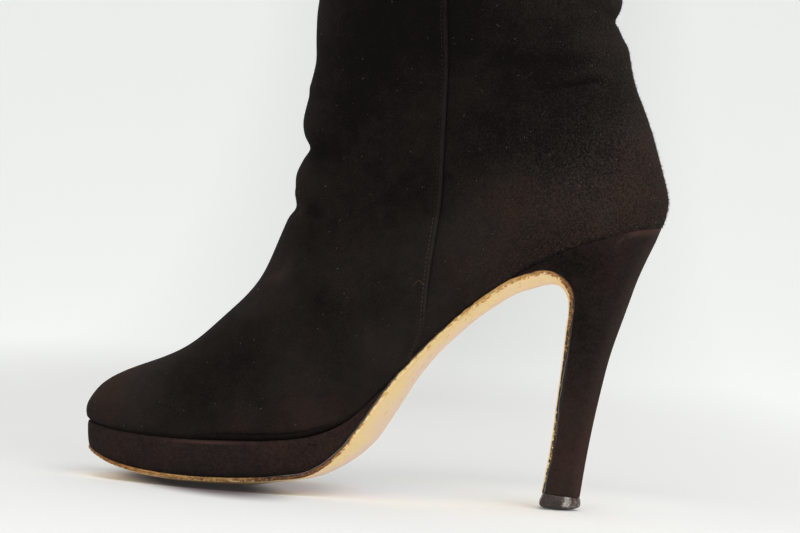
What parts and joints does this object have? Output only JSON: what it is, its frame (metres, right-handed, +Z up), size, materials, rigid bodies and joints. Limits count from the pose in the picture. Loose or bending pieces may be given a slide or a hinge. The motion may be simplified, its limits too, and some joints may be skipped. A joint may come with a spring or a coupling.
{
  "type": "over-the-knee boot",
  "caption": "Over-the-knee suede boot with a covered platform, a high curved heel and a leather sole that runs down the front of the heel.",
  "frame": {"origin": "middle of the heel's ground contact, under the top piece", "axes": "+Z up along the shaft, toe towards -Y, +X towards the inner (medial) side of this right boot"},
  "size_m": [0.123, 0.2255, 0.6402],
  "materials": {
    "upper": "dark chocolate-brown suede",
    "insole": "smooth sock leather on fibre board",
    "platform": "suede cover, chocolate brown",
    "outsole": "natural sole leather, worn, with a dark painted edge",
    "heel": "suede cover, chocolate brown",
    "top_piece": "moulded hard rubber, dark brown, glossy"
  },
  "bodies": {
    "root": {"upper": "upper", "insole": "insole", "platform": "platform", "outsole": "outsole", "heel": "heel", "top_piece": "top_piece"}
  },
  "joints": []
}
